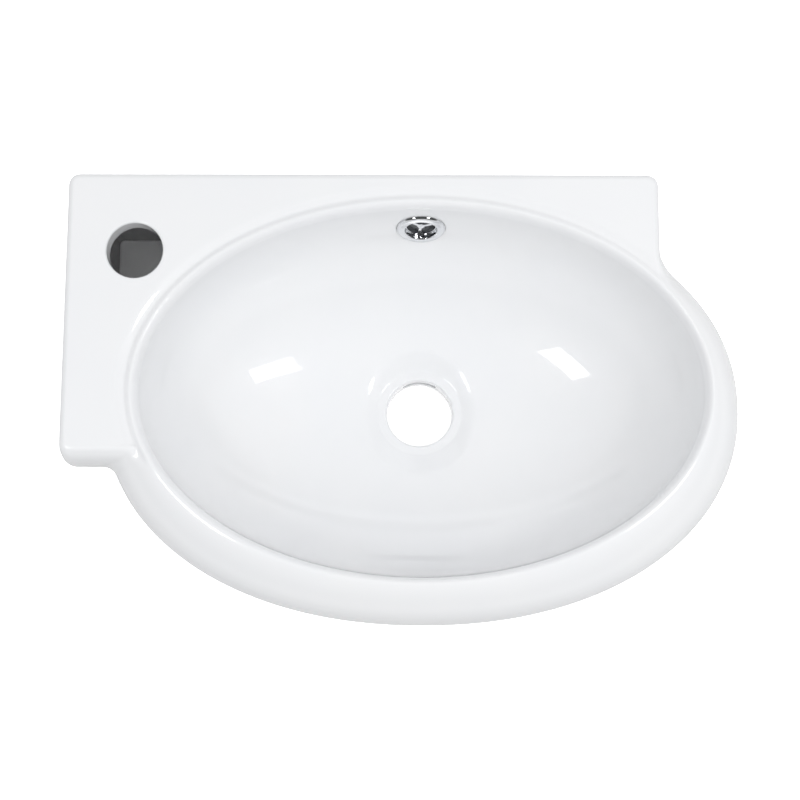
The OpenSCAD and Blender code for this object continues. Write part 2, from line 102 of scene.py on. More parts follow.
# %% Sizes of the casting
DECK_Z, BASIN_H, HALF_W, DECK_D, DECK_T = 50.0, 130.0, 185.0, 179.0, 12.0
BOWL_A, BOWL_B, BOWL_X, BOWL_Y = 175.0, 115.0, 36.5, 136.5
BOWL_MIDDLE = Vector((BOWL_X, -BOWL_Y))
BOWL_DEPTH, FLOOR_H, SHELL_H, BOWL_POWER, WALL_T = 105.0, 103.0, 115.0, 2.5, 8.0
LIP_R, LIP_H = 4.0, 9.0
CREST_A, CREST_B = BOWL_A + LIP_R, BOWL_B + LIP_R
ROLL_H, ROLL_POWER, UNDER_H = 27.0, 1.3, 38.0
RIM_A, RIM_B, RIM_Y, RIM_POWER = 198.5, 135.0, 145.0, 2.12


def mix(a, b, t):
    return a + (b - a) * t


def power_of(v, p):
    return math.copysign(abs(v) ** p, v)


def oval_point(oval, degrees):
    a, b, x, y, power = oval
    t, e = math.radians(degrees), 2 / power
    return Vector((x + a * power_of(math.cos(t), e), y + b * power_of(math.sin(t), e)))


def oval_normal(oval, degrees):
    a, b, x, y, power = oval
    t, e = math.radians(degrees), 2 - 2 / power
    return Vector((power_of(math.cos(t), e) / a, power_of(math.sin(t), e) / b)).normalized()


def on_oval(oval, angles):
    return [oval_point(oval, t) for t in angles]


def width_share(h, full_depth):
    """The share of its width that a bowl of this full depth still has at depth h."""
    return math.sqrt(1 - (h / full_depth) ** BOWL_POWER)


def bowl_oval(h):
    t = width_share(max(h, 0), FLOOR_H)
    lip = 0 if h >= LIP_H else LIP_R * (1 - math.sqrt(1 - (1 - h / LIP_H) ** 2))
    return (BOWL_A * t + lip, BOWL_B * t + lip, BOWL_X, -BOWL_Y, 2)


def shell_oval(h, grow=0.0):
    t = width_share(h, SHELL_H)
    return ((BOWL_A + WALL_T) * t + grow, (BOWL_B + WALL_T) * t + grow, BOWL_X, -BOWL_Y, 2)


def outer_oval(h):
    """The rolled rim: it swells from the crest to its widest line, then turns under."""
    if h < ROLL_H:
        t = (1 - (1 - h / ROLL_H) ** 2) ** (1 / ROLL_POWER)
        start = (CREST_A, CREST_B, BOWL_X, -BOWL_Y, 2)
    else:
        t = (1 + math.cos(math.pi * min(1, (h - ROLL_H) / UNDER_H))) / 2
        start = shell_oval(h)
    return tuple(mix(a, b, t) for a, b in zip(start, (RIM_A, RIM_B, BOWL_X, -RIM_Y, RIM_POWER)))


for h in (0, ROLL_H, ROLL_H + UNDER_H, 100):
    print("outside at depth", h, [round(v, 1) for v in outer_oval(h)])

# %% [markdown]
# A hollow fillet is the path of a ball that rolls in the corner between the oval and a straight
# side of the deck. Its place is found by halving: the ball touches the oval at a trial angle,
# and the angle moves until the ball also touches the side. The left part of the deck is an arm
# whose front has a nose: below the deck's edge it swells past the edge, and further down it
# draws back. The right side is straight, and its ball is much larger.

# %% Fillets between deck and rim
CORNER_R, EDGE_R, FRONT_BALL_R, RIGHT_BALL_R = 7.0, 4.5, 9.0, 38.0
RIGHT_H, ARM_H = 36.0, 76.0
NOSE_IN, NOSE_OUT, NOSE_H, NOSE_BACK = 6.5, 4.0, 20.0, 8.0
FILLET_PARTS, CORNER_PARTS = 8, 6


def smooth(t):
    return t * t * (3 - 2 * t)


def edge_inset(h):
    """How far the rounded upper edge of the deck stands back at this depth."""
    return 0 if h >= EDGE_R else EDGE_R - math.sqrt(EDGE_R ** 2 - (EDGE_R - h) ** 2)


def front_face(h):
    """Where the arm's front lies at this depth: nose first, then the stretch that draws back."""
    if h < NOSE_H:
        t = 1 - math.sqrt(1 - (1 - h / NOSE_H) ** 2)
        return -DECK_D - NOSE_OUT + (NOSE_IN + NOSE_OUT) * t
    t = min(1, (h - NOSE_H) / (ARM_H - NOSE_H))
    return -DECK_D + mix(-NOSE_OUT, NOSE_BACK, smooth(t))


def ball_angle(oval, axis, side, low, high, radius):
    for step in range(30):
        middle = (low + high) / 2
        ball = oval_point(oval, middle) + radius * oval_normal(oval, middle)
        low, high = (middle, high) if ball[axis] > side else (low, middle)
    return (low + high) / 2


def front_fillet(h):
    side = front_face(h) - FRONT_BALL_R
    return ball_angle(outer_oval(h), 1, side, 180, 265, FRONT_BALL_R)


def right_fillet(h):
    side = HALF_W - edge_inset(h) + RIGHT_BALL_R
    return ball_angle(outer_oval(h), 0, side, 360, 440, RIGHT_BALL_R)


def ball_at(h, touch, radius):
    """Middle of the ball that touches the oval at this angle, and the angle back to the oval."""
    out = oval_normal(outer_oval(h), touch)
    return oval_point(outer_oval(h), touch) + radius * out, math.degrees(math.atan2(-out.y, -out.x))


print("fillets touch the rim at", [round(front_fillet(h), 1) for h in (0, ROLL_H, RIGHT_H)],
      [round(right_fillet(h), 1) for h in (0, ROLL_H, RIGHT_H)])

# %% [markdown]
# The outline of deck and rim at one depth is a closed loop with the same number of points at
# every depth, so that loops can be joined point to point. The points on the front of the oval
# keep their angles at all depths, apart from two beside each fillet. Depths follow each other
# closely where the roll leaves the deck, because the light plays most there.

# %% Outline of deck and rim
OVAL_STEP, LEFT_POINTS, FRONT_POINTS, RIGHT_POINTS, WALL_POINTS = 1.5, 40, 10, 24, 64
ROLL_SHARES = [0, 0.012, 0.025, 0.04, 0.06, 0.085, 0.12, 0.16, 0.21, 0.27, 0.34, 0.42, 0.5, 0.58,
               0.66, 0.74, 0.81, 0.87, 0.92, 0.96, 0.985, 0.996, 1]
top_depths = ([ROLL_H * (1 - math.sqrt(1 - t ** ROLL_POWER)) for t in ROLL_SHARES]
              + [30.0, 33.0, RIGHT_H])
FIRST = OVAL_STEP * (math.floor(max(front_fillet(h) for h in top_depths) / OVAL_STEP) + 2)
LAST = OVAL_STEP * (math.ceil(min(right_fillet(h) for h in top_depths) / OVAL_STEP) - 2)


def arc(middle, radius, start, end, parts):
    angles = [math.radians(mix(start, end, i / parts)) for i in range(parts + 1)]
    return [middle + radius * Vector((math.cos(a), math.sin(a))) for a in angles]


def between(a, b, parts):
    return [a.lerp(b, i / parts) for i in range(1, parts)]


def deck_side(h):
    """From the left rear corner round the front of the deck to the end of the front fillet."""
    inset = edge_inset(h)
    r, left, front = CORNER_R - inset, inset - HALF_W, front_face(h)
    ball, back = ball_at(h, front_fillet(h), FRONT_BALL_R)
    rear = arc(Vector((left + r, -inset - r)), r, 90, 180, CORNER_PARTS)
    fore = arc(Vector((left + r, front + r)), r, 180, 270, CORNER_PARTS)
    fillet = arc(ball, FRONT_BALL_R, 90, back, FILLET_PARTS)
    return (rear + between(rear[-1], fore[0], LEFT_POINTS) + fore
            + between(fore[-1], fillet[0], FRONT_POINTS) + fillet)


def front_angles(h):
    """Angles of the oval's own points, from the front fillet to the right one."""
    start, end = front_fillet(h), right_fillet(h)
    count = round((LAST - FIRST) / OVAL_STEP)
    return ([mix(start, FIRST, i / 3) for i in (1, 2)]
            + [FIRST + OVAL_STEP * i for i in range(count + 1)]
            + [mix(LAST, end, i / 3) for i in (1, 2)])


def outline(h):
    inset = edge_inset(h)
    r, right = CORNER_R - inset, HALF_W - inset
    ball, back = ball_at(h, right_fillet(h), RIGHT_BALL_R)
    fillet = arc(ball, RIGHT_BALL_R, back + 360, 180, FILLET_PARTS)
    corner = arc(Vector((right - r, -inset - r)), r, 0, 90, CORNER_PARTS)
    side = deck_side(h)
    return (side + on_oval(outer_oval(h), front_angles(h)) + fillet
            + between(fillet[-1], corner[0], RIGHT_POINTS) + corner
            + between(corner[-1], side[0], WALL_POINTS))


def oval_angles(h):
    """Angles on the oval of this depth that face the points of the outline there."""
    a, b, x, y, power = outer_oval(h)
    start, exact, angles = len(deck_side(h)), front_angles(h), []
    for p in outline(h):
        angle = math.degrees(math.atan2((p.y - y) / b, (p.x - x) / a))
        past_the_front = len(angles) >= start
        angles.append(angle + 360 if angle < 90 and past_the_front else angle % 360)
    angles[start:start + len(exact)] = exact
    return angles


print("points in an outline", len(outline(0)), "front oval from", FIRST, "to", LAST)

# %% [markdown]
# A loft is a row of closed loops joined side by side. The loops start as equal circles stacked
# like coins, so that the bridge operator can't mistake which point belongs to which; then the
# whole skin is pulled into its shape. Where two loops share a stretch, the faces between them
# have no width, and merging the doubled points makes them vanish. A loft between two depths of
# the outline shows whether it closes.

# %% Loops and lofts
MERGE = 0.002


def add_circle(bm, count, level):
    coin = Matrix.Translation((0, 0, level))
    loop = bmesh.ops.create_circle(bm, segments=count, radius=1, matrix=coin)["verts"]
    return loop, list({edge for vert in loop for edge in vert.link_edges})


def loft(loops, closed=False):
    """A closed skin over loops of equal length; the ends get lids, or meet when closed."""
    bm = bmesh.new()
    coins = [add_circle(bm, len(points), level) for level, points in enumerate(loops)]
    for near, far in zip(coins, coins[1:] + (coins[:1] if closed else [])):
        bmesh.ops.bridge_loops(bm, edges=near[1] + far[1])
    for (loop, edges), points in zip(coins, loops):
        for vert, point in zip(loop, points):
            vert.co = point
    if not closed:
        for loop, edges in (coins[0], coins[-1]):
            bmesh.ops.contextual_create(bm, geom=edges)
    bmesh.ops.remove_doubles(bm, verts=bm.verts, dist=MERGE)
    bmesh.ops.dissolve_degenerate(bm, dist=MERGE, edges=bm.edges)
    bmesh.ops.recalc_face_normals(bm, faces=bm.faces)
    return bm


def at_depth(points, h):
    return [Vector((p.x, p.y, DECK_Z - h)) for p in points]


def open_edges(bm):
    return sum(1 for edge in bm.edges if not edge.is_manifold)


trial = loft([at_depth(outline(h), h) for h in (20, 10)])
print("trial loft:", len(trial.faces), "faces,", open_edges(trial), "open edges, volume",
      round(trial.calc_volume() / 1e6, 3), "litres")
trial.free()

# %% [markdown]
# Seen as a skin, the casting is one ring round the waste: from the waste hole the surface runs
# up the bowl, over the crest of the rim, across the groove and the deck, down the outside and
# back under the bowl to the outlet. Each stretch of that way is a few loops. The first stretch
# goes down the bowl. Round the waste lies a recess for the waste's flange: a level seat, a
# tight corner, and a slope that steepens until it meets the bowl's floor in a soft turn.

# %% Bowl and recess
WASTE_R, WASTE_EDGE = 22.25, 2.0
SEAT_R, RECESS_R, CORNER, SLOPE, STEEPENING, SOFT_TURN = 28.0, 39.0, 1.5, 0.45, 0.0158, 2.5
LIP_STEPS, WALL_STEPS, WALL_END, WALL_EASE = 12, 34, 96.0, 1.15
FLOOR_CIRCLE_R, FLOOR_STEPS, SLOPE_STEPS, SLOPE_STEP, RECESS_LOOPS = 44.0, 8, 10, 0.8, 6
SEAT_RADII = [35.0, 34.0, 33.0, 32.0, 31.0, 30.2, 29.6, 29.2, 28.8, 28.4, 28.0, 26.5]


def slowing(i, count):
    """Runs from 0 to 1 in steps that get ever shorter."""
    return math.sin(math.pi / 2 * i / count)


def quickening(i, count):
    """Runs from 0 to 1 in steps that get ever longer."""
    return 1 - math.cos(math.pi / 2 * i / count)


def depth_under(p, a, b, full_depth):
    """Depth of a bowl with these half widths and this full depth under the point p."""
    away = p - BOWL_MIDDLE
    share = min(1, (away.x / a) ** 2 + (away.y / b) ** 2)
    return full_depth * (1 - share) ** (1 / BOWL_POWER)


def floor_depth(p):
    """Depth of the bowl's floor, the deeper of bowl and recess with a soft turn between."""
    out = max(0, (p - BOWL_MIDDLE).length - SEAT_R)
    run = RECESS_R - SEAT_R
    climb = max(0, min(out, run) - CORNER)
    rise = (SLOPE * min(out, CORNER) ** 2 / (2 * CORNER) + SLOPE * climb + STEEPENING * climb ** 2
            + max(0, out - run))
    bowl, recess = depth_under(p, BOWL_A, BOWL_B, FLOOR_H), BOWL_DEPTH - rise
    t = max(0, SOFT_TURN - abs(bowl - recess)) / SOFT_TURN
    return max(bowl, recess) + t * t * SOFT_TURN / 4


def on_floor(points):
    return [Vector((p.x, p.y, DECK_Z - floor_depth(p.xy))) for p in points]


def on_circle(radius, angles):
    """Points of a circle round the waste that face the points of the bowl's lowest oval."""
    rays = [(oval_point(lowest_oval, t) - BOWL_MIDDLE).normalized() for t in angles]
    return [BOWL_MIDDLE + radius * ray for ray in rays]


top_angles = oval_angles(0)
lip_depths = [LIP_H * quickening(i, LIP_STEPS) for i in range(LIP_STEPS + 1)]
wall_depths = [mix(LIP_H, WALL_END, slowing(i, WALL_STEPS) ** WALL_EASE)
               for i in range(1, WALL_STEPS + 1)]
lowest_oval = bowl_oval(WALL_END)
bowl_loops = [at_depth(on_oval(bowl_oval(h), top_angles), h) for h in lip_depths + wall_depths]
bowl_loops[-RECESS_LOOPS:] = [on_floor(loop) for loop in bowl_loops[-RECESS_LOOPS:]]
edge_of_floor = on_oval(lowest_oval, top_angles)
wide_circle = on_circle(FLOOR_CIRCLE_R, top_angles)
flat_loops = [[a.lerp(b, i / FLOOR_STEPS) for a, b in zip(edge_of_floor, wide_circle)]
              for i in range(1, FLOOR_STEPS + 1)]
slope_radii = [FLOOR_CIRCLE_R - SLOPE_STEP * i for i in range(1, SLOPE_STEPS + 1)]
for radius in slope_radii + SEAT_RADII + [WASTE_R + WASTE_EDGE]:
    flat_loops.append(on_circle(radius, top_angles))
floor_loops = [on_floor(flat) for flat in flat_loops]
print("loops:", len(bowl_loops), "bowl,", len(floor_loops), "floor")

# %% [markdown]
# From the seat the skin rounds into the bore of the waste, comes out at the foot of a round
# boss and climbs the outside of the bowl's shell. Under the roll it follows the rim's ovals,
# and from where the right side of the deck begins it follows the outline.

# %% Outlet, shell and sides
OUTLET_H, OUTLET_EDGE, BOSS_R, BOSS_EDGE = 124.0, 0.8, 36.0, 1.2
SHELL_START, UNDER_END, UNDER_EASE = 109.0, ROLL_H + UNDER_H, 1.2
EDGE_STEPS, SHELL_STEPS, UNDER_STEPS = 6, 19, 12
low_angles = oval_angles(RIGHT_H)
outlet_loops = []
for i in range(1, EDGE_STEPS + 1):
    radius = WASTE_R + WASTE_EDGE * (1 - slowing(i, EDGE_STEPS))
    depth = BOWL_DEPTH + WASTE_EDGE * quickening(i, EDGE_STEPS)
    outlet_loops.append(at_depth(on_circle(radius, top_angles), depth))
for radius, depth in ((WASTE_R, OUTLET_H - OUTLET_EDGE), (WASTE_R + OUTLET_EDGE, OUTLET_H),
                      (BOSS_R - BOSS_EDGE, OUTLET_H), (BOSS_R, OUTLET_H - BOSS_EDGE)):
    outlet_loops.append(at_depth(on_circle(radius, low_angles), depth))
meeting = [(p, depth_under(p, BOWL_A + WALL_T, BOWL_B + WALL_T, SHELL_H))
           for p in on_circle(BOSS_R, low_angles)]
shell_loops = [[Vector((p.x, p.y, DECK_Z - h)) for p, h in meeting]]
for i in range(SHELL_STEPS, -1, -1):
    h = mix(UNDER_END, SHELL_START, slowing(i, SHELL_STEPS))
    shell_loops.append(at_depth(on_oval(shell_oval(h), low_angles), h))
for i in range(UNDER_STEPS - 1, -1, -1):
    h = mix(RIGHT_H, UNDER_END, (i / UNDER_STEPS) ** UNDER_EASE)
    shell_loops.append(at_depth(on_oval(outer_oval(h), low_angles), h))
side_loops = [at_depth(outline(h), h) for h in reversed(top_depths)]
print("loops:", len(outlet_loops), "outlet,", len(shell_loops), "shell,", len(side_loops), "sides")

# %% [markdown]
# The last stretch crosses the deck from its edge to the crest of the rim. A shallow groove runs
# along behind the crest. It is pushed down out of the flat deck by a soft wave, and it fades
# where the deck ends and the rim falls away by itself. Then all the loops are joined into one
# closed skin.

# %% Deck and groove
GROOVE_D, GROOVE_IN, GROOVE_OUT, GROOVE_END, GROOVE_REACH = 2.0, 4.0, 6.0, 18.0, 12.0
NEAR_CREST = [0.5, 1.0, 1.5, 2.0, 2.5, 3.0, 3.5, 4.0, 4.6, 5.3, 6.1, 7.0, 8.0, 9.0, 10.0, 11.5]
NEAR_SHARE, DECK_STEPS, DECK_EASE = 0.7, 10, 1.3


def past_crest(p):
    """How far an oval drawn through this point stands out past the crest."""
    away, q = p - BOWL_MIDDLE, 0.0
    for step in range(8):
        f = (away.x / (CREST_A + q)) ** 2 + (away.y / (CREST_B + q)) ** 2 - 1
        slope = -2 * (away.x ** 2 / (CREST_A + q) ** 3 + away.y ** 2 / (CREST_B + q) ** 3)
        q -= f / slope
    return q


def groove_depth(p):
    q, width = past_crest(p), GROOVE_IN + GROOVE_OUT
    if q <= 0 or q >= width:
        return 0.0
    inside = min(HALF_W - p.x, p.y + DECK_D) / GROOVE_END
    fade = smooth(max(0, min(1, inside + 0.5)))
    turn = q / GROOVE_IN if q < GROOVE_IN else (width - q) / GROOVE_OUT
    return fade * GROOVE_D * (1 - math.cos(math.pi * turn)) / 2


def across_deck(a, b, k):
    """The k-th point on the way from the crest to the deck's edge; near the crest they crowd."""
    room = (b - a).length
    if room < 1e-6:
        return a.copy()
    start = min(NEAR_CREST[-1], room * NEAR_SHARE)
    if k < len(NEAR_CREST):
        return a.lerp(b, start * NEAR_CREST[k] / NEAR_CREST[-1] / room)
    t = (k - len(NEAR_CREST) + 1) / (DECK_STEPS + 1)
    return a.lerp(b, mix(start, room, t ** DECK_EASE) / room)


crest_and_edge = list(zip(on_oval(bowl_oval(0), top_angles), outline(0)))
deck_loops = []
for k in reversed(range(len(NEAR_CREST) + DECK_STEPS)):
    flat = [across_deck(a, b, k) for a, b in crest_and_edge]
    deck_loops.append([Vector((p.x, p.y, DECK_Z - groove_depth(p))) for p in flat])
for loop in side_loops:
    for p in loop:
        p.z -= groove_depth(p.xy) if p.z > DECK_Z - GROOVE_REACH else 0
skin = bowl_loops + floor_loops + outlet_loops + shell_loops + side_loops + deck_loops
body = loft(skin, closed=True)
print("casting without skirts:", len(body.faces), "faces,", open_edges(body), "open edges,",
      round(body.calc_volume() / 1000), "cm3")

# %% [markdown]
# Blocks are joined and cut as solids with the boolean modifier. Its result is taken over at
# once, and the tool is thrown away.

# %% Joining and cutting solids
def as_object(bm, name):
    mesh = bpy.data.meshes.new(name)
    bm.to_mesh(mesh)
    bm.free()
    thing = bpy.data.objects.new(name, mesh)
    bpy.context.scene.collection.objects.link(thing)
    return thing


def combine(base, solid, operation):
    """Joins a solid to the base or cuts it out; the solid is used up."""
    tool = solid if isinstance(solid, bpy.types.Object) else as_object(solid, "tool")
    step = base.modifiers.new("combine", "BOOLEAN")
    step.operation, step.object, step.solver = operation, tool, "MANIFOLD"
    bpy.context.view_layer.update()
    graph = bpy.context.evaluated_depsgraph_get()
    result = bpy.data.meshes.new_from_object(base.evaluated_get(graph))
    base.modifiers.clear()
    base.data = result
    bpy.data.objects.remove(tool)


def report(thing):
    bm = bmesh.new()
    bm.from_mesh(thing.data)
    print(thing.name + ":", len(bm.faces), "faces,", open_edges(bm), "open edges,",
          round(bm.calc_volume(signed=True) / 1000, 2), "cm3")
    bm.free()


casting = as_object(body, "glazed_casting")
report(casting)

# %% [markdown]
# The skirts are walls that hang from the deck: a long one on the left that makes the arm, and
# one along the wall. They are made as full blocks, and their lower edges are swept up towards
# the front. Where a block would stand in the bowl, the space inside the bowl's wall is cut
# from it before it joins the casting.

# %% Skirts
ARM_X, ARM_END, ARM_FOOT, RIGHT_FOOT, RIGHT_D = -51.0, 77.0, 66.0, 16.0, 60.1
PAST, FAR_PAST, BELOW, CUT_STEPS, ARM_STEPS = 5.0, 200.0, 9.0, 32, 12
INSIDE_DEPTHS = (20, 30, 36, 45, 55, 65, 75, 84, 92, 98, 103, 107)


def box_loop(x0, x1, y0, y1, r, h):
    corners = [(x1 - r, y1 - r), (x0 + r, y1 - r), (x0 + r, y0 + r), (x1 - r, y0 + r)]
    points = []
    for k, corner in enumerate(corners):
        points += arc(Vector(corner), r, 90 * k, 90 * k + 90, CORNER_PARTS)
    return at_depth(points, h)


def arm_loop(h):
    """The deck's left part at this depth, closed by two lines that run inside the roll."""
    oval, touch = outer_oval(h), front_fillet(h) + 3
    inner = oval_point(oval, touch) - oval_normal(oval, touch)
    return at_depth(deck_side(h) + [inner, Vector((ARM_X, -BOWL_Y)), Vector((ARM_X, 0))], h)


def edge_cut(x0, x1, start, end, top):
    """Space below a lower edge that rises in a quarter of an ellipse from start to end."""
    far, below = -end - FAR_PAST, -BASIN_H - BELOW
    points = [(far, -top), (far, below), (-start, below), (-start, -BASIN_H)]
    for i in range(1, CUT_STEPS + 1):
        points.append((-mix(start, end, slowing(i, CUT_STEPS)),
                       (BASIN_H - top) * quickening(i, CUT_STEPS) - BASIN_H))
    return loft([[Vector((x, y, z + DECK_Z)) for y, z in points] for x in (x0, x1)])


def inside_wall():
    """The space inside the middle of the bowl's wall."""
    return loft([at_depth(on_oval(shell_oval(h, -WALL_T / 2), range(0, 360, 2)), h)
                 for h in INSIDE_DEPTHS])


arm_front = front_face(ARM_END)
arm_depths = [mix(RIGHT_H, ARM_END, i / ARM_STEPS) for i in range(ARM_STEPS + 1)]
skirts = as_object(loft([arm_loop(h) for h in arm_depths]), "skirts")
for x, y, top in ((ARM_X, arm_front, ARM_END), (HALF_W, -RIGHT_D, RIGHT_H)):
    block = loft([box_loop(-HALF_W, x, y, 0, CORNER_R, h) for h in (top, BASIN_H)])
    combine(skirts, block, "UNION")
combine(skirts, edge_cut(-HALF_W - PAST, BOWL_X, ARM_FOOT, -arm_front, ARM_H), "DIFFERENCE")
combine(skirts, edge_cut(BOWL_X, HALF_W + PAST, RIGHT_FOOT, RIGHT_D, RIGHT_H), "DIFFERENCE")
combine(skirts, inside_wall(), "DIFFERENCE")
report(skirts)
combine(casting, skirts, "UNION")
report(casting)

# %% [markdown]
# Then the whole underside is hollowed at once, as the plaster mould does it. The hollow leaves
# 12 mm of deck and 9 mm of skirt. The bowl's shell and the round boss at the outlet stay
# standing in it.

# %% Hollow of the underside
SKIRT_T, INNER_CORNER_R, GAP = 9.0, 3.0, 0.05


def turned(sections, place=Matrix.Identity(4), parts=96):
    """A round solid through (radius, height) pairs along its own z axis, then put in place."""
    angles = [2 * math.pi * i / parts for i in range(parts)]
    return loft([[place @ Vector((r * math.cos(a), r * math.sin(a), z)) for a in angles]
                 for r, z in sections])


def hollow_loop(h):
    return box_loop(-HALF_W + SKIRT_T, HALF_W - SKIRT_T, front_face(h) + SKIRT_T, -SKIRT_T,
                    INNER_CORNER_R, h)


hollow_depths = [DECK_T, *range(20, 81, 5), BASIN_H + PAST]
hollow = as_object(loft([hollow_loop(h) for h in hollow_depths]), "hollow")
shell_depths = ([mix(2.0, 60.0, i / 10) for i in range(11)]
                + [mix(60.0, SHELL_H - 0.4, slowing(i, 24)) for i in range(1, 25)])
shell = loft([at_depth(on_oval(shell_oval(h, GAP), [t * 1.5 for t in range(240)]), h)
              for h in shell_depths])
at_outlet = Matrix.Translation((BOWL_X, -BOWL_Y, DECK_Z - OUTLET_H))
boss = turned([(BOSS_R + GAP, -9), (BOSS_R + GAP, 29)], at_outlet)
combine(hollow, shell, "DIFFERENCE")
combine(hollow, boss, "DIFFERENCE")
combine(casting, hollow, "DIFFERENCE")
report(casting)

# %% [markdown]
# An overflow channel runs down the back of the bowl from the hole near its top to the waste, so
# that a full basin drains. It is cast in one with the bowl: a flat duct with rounded corners,
# drawn out along a line that keeps 11 mm behind the bowl's face. Two round pads behind the
# fixing holes spread the load of the bolts.

# %% Overflow channel and pads
CHANNEL_TOP, CHANNEL_END, CHANNEL_Z, CHANNEL_GAP = 21.25, 0.88 * FLOOR_H, -63.5, 11.0
CHANNEL_HALF_W, CHANNEL_HALF_T, CHANNEL_WALL, CHANNEL_STEPS = 13.0, 4.0, 6.0, 24
FIXING_X, TO_WALL = 140.0, Matrix.Rotation(math.pi / 2, 4, "X")
PAD_SECTION = [(19, 1), (19, 11.8), (18.65, 12.65), (17.8, 13)]


def wall_point(h, gap):
    """A point of the bowl's back wall in the plane through its middle, as (y, z), moved out."""
    share = width_share(h, FLOOR_H)
    slope = -BOWL_B * BOWL_POWER / (2 * FLOOR_H) * (h / FLOOR_H) ** (BOWL_POWER - 1) / share
    out = Vector((1, slope)).normalized()
    return Vector((-BOWL_Y + BOWL_B * share, DECK_Z - h)) + gap * out


def channel_line(start):
    """From this distance behind the middle of the waste, level at first, then up the wall."""
    level = [Vector((-BOWL_Y + y, CHANNEL_Z)) for y in (start, RECESS_R)]
    return level + [wall_point(mix(CHANNEL_END, CHANNEL_TOP, i / CHANNEL_STEPS), CHANNEL_GAP)
                    for i in range(CHANNEL_STEPS + 1)]


def duct(line, around):
    """A flat tube's solid along a line of (y, z) points, made wider all around by this much."""
    across, deep = CHANNEL_HALF_W + around, CHANNEL_HALF_T + around
    loops = []
    for i, point in enumerate(line):
        way = (line[min(i + 1, len(line) - 1)] - line[max(i - 1, 0)]).normalized()
        loop = []
        for k in range(64):
            t = 2 * math.pi * k / 64
            u, v = across * power_of(math.cos(t), 0.5), deep * power_of(math.sin(t), 0.5)
            loop.append(Vector((BOWL_X + u, point.x + v * way.y, point.y - v * way.x)))
        loops.append(loop)
    return loft(loops)


outer_line = channel_line(WASTE_R + 3)
outer_line.append(Vector((outer_line[-1].x, DECK_Z - DECK_T / 2)))
outer_duct = as_object(duct(outer_line, CHANNEL_WALL), "duct")
combine(outer_duct, inside_wall(), "DIFFERENCE")
combine(casting, outer_duct, "UNION")
at_fixings = [Matrix.Translation((x, 0, 0)) @ TO_WALL for x in (-FIXING_X, FIXING_X)]
for place in at_fixings:
    combine(casting, turned(PAD_SECTION, place), "UNION")
report(casting)

# %% [markdown]
# The holes are cut last: the inside of the channel, the opening for the overflow insert with a
# level seat for its seal, the tap hole with its rounded edge, and the two fixing holes. The
# insert's place is its own frame, with z out of the bowl's wall and tilted up by 15 degrees.

# %% Holes
TILT, INSERT_H, INSERT_SINK, OPENING_R, INSERT_SEAT_R = 15.0, 35.0, 0.9, 11.75, 15.95
TAP_R, TAP_EDGE, AT_TAP = 17.5, 1.5, Matrix.Translation((-142, -50, DECK_Z))
BUSH_HOLE_R = 8.0
seat = wall_point(INSERT_H, INSERT_SINK)
AT_OVERFLOW = (Matrix.Translation((BOWL_X, seat.x, seat.y))
               @ Matrix.Rotation(math.radians(90 - TILT), 4, "X"))
tap_section = ([(TAP_R + TAP_EDGE + 0.2, 0.5), (TAP_R + TAP_EDGE, 0)]
               + [(TAP_R + TAP_EDGE * quickening(i, 8), TAP_EDGE * (slowing(i, 8) - 1))
                  for i in range(7, -1, -1)] + [(TAP_R, -17)])
holes = [duct(channel_line(WASTE_R - 3), 0),
         turned([(OPENING_R, -11), (OPENING_R, 1)], AT_OVERFLOW),
         turned([(INSERT_SEAT_R, 0), (INSERT_SEAT_R, 5)], AT_OVERFLOW),
         turned(tap_section, AT_TAP, 192)]
holes += [turned([(BUSH_HOLE_R, -5), (BUSH_HOLE_R, 18)], place) for place in at_fixings]
for hole in holes:
    combine(casting, hole, "DIFFERENCE")
report(casting)

# %% [markdown]
# The finished casting takes the place of the frame's plain one. Its faces are shaded smooth,
# sharp only where two surfaces meet at a real edge, and the normals lean towards the large
# faces, so the flat deck stays flat in the mirror of the glaze.

# %% Casting into the frame
def settle(thing, body_name, node, sharp=40.0):
    """Brings a finished piece from millimetres to metres and into the frame."""
    thing.data.transform(Matrix.Scale(MM, 4))
    thing.data.polygons.foreach_set("use_smooth", [True] * len(thing.data.polygons))
    thing.data.set_sharp_from_angle(angle=math.radians(sharp))
    thing.modifiers.new("even shading", "WEIGHTED_NORMAL").keep_sharp = True
    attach(thing, body_name)
    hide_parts(node)
    print(thing.name, "rides", body_name, "for", node)


settle(casting, "basin", "basin_body", 35.0)

# %% [markdown]
# The overflow insert is pressed from thin brass and chromed: a domed flange with a sleeve
# behind it, slotted into spring fingers that hold it in the hole. Its section is drawn once and
# spun round the axis.

# %% Overflow ring
INNER, OUTER, FLANGE_R, BACK, FACE = 10.25, 11.15, 15.75, 1.2, 3.6
SLEEVE_END, CATCH, PLAY = -13.0, 0.29, 0.01
SLEEVE_ROUND, RIM_ROUND, DOME, MOUTH_ROUND = 0.15, 0.11, 2.2, 0.9
SLOT_MIDDLE, SLOT_SIZE = (8, 0, -12.25), (16, 3, 11.5, 1)


def spun(section, steps=120):
    """A ring with this closed section of (radius, height) points, round the z axis."""
    bm = bmesh.new()
    loop = bmesh.ops.create_circle(bm, segments=len(section), radius=1)["verts"]
    for vert, (r, z) in zip(loop, section):
        vert.co = (r, 0, z)
    bmesh.ops.spin(bm, geom=loop + bm.edges[:], cent=(0, 0, 0), axis=(0, 0, 1),
                   angle=2 * math.pi, steps=steps, use_merge=True)
    bmesh.ops.remove_doubles(bm, verts=bm.verts, dist=1e-4)
    bmesh.ops.recalc_face_normals(bm, faces=bm.faces)
    return bm


def bend(r, z, size, start, end, parts=5):
    """A small rounded corner of a section, round (r, z)."""
    turns = [math.radians(mix(start, end, i / parts)) for i in range(parts + 1)]
    return [(r + size * math.cos(t), z + size * math.sin(t)) for t in turns]


def about_axis(degrees):
    return Matrix.Rotation(math.radians(degrees), 4, "Z")


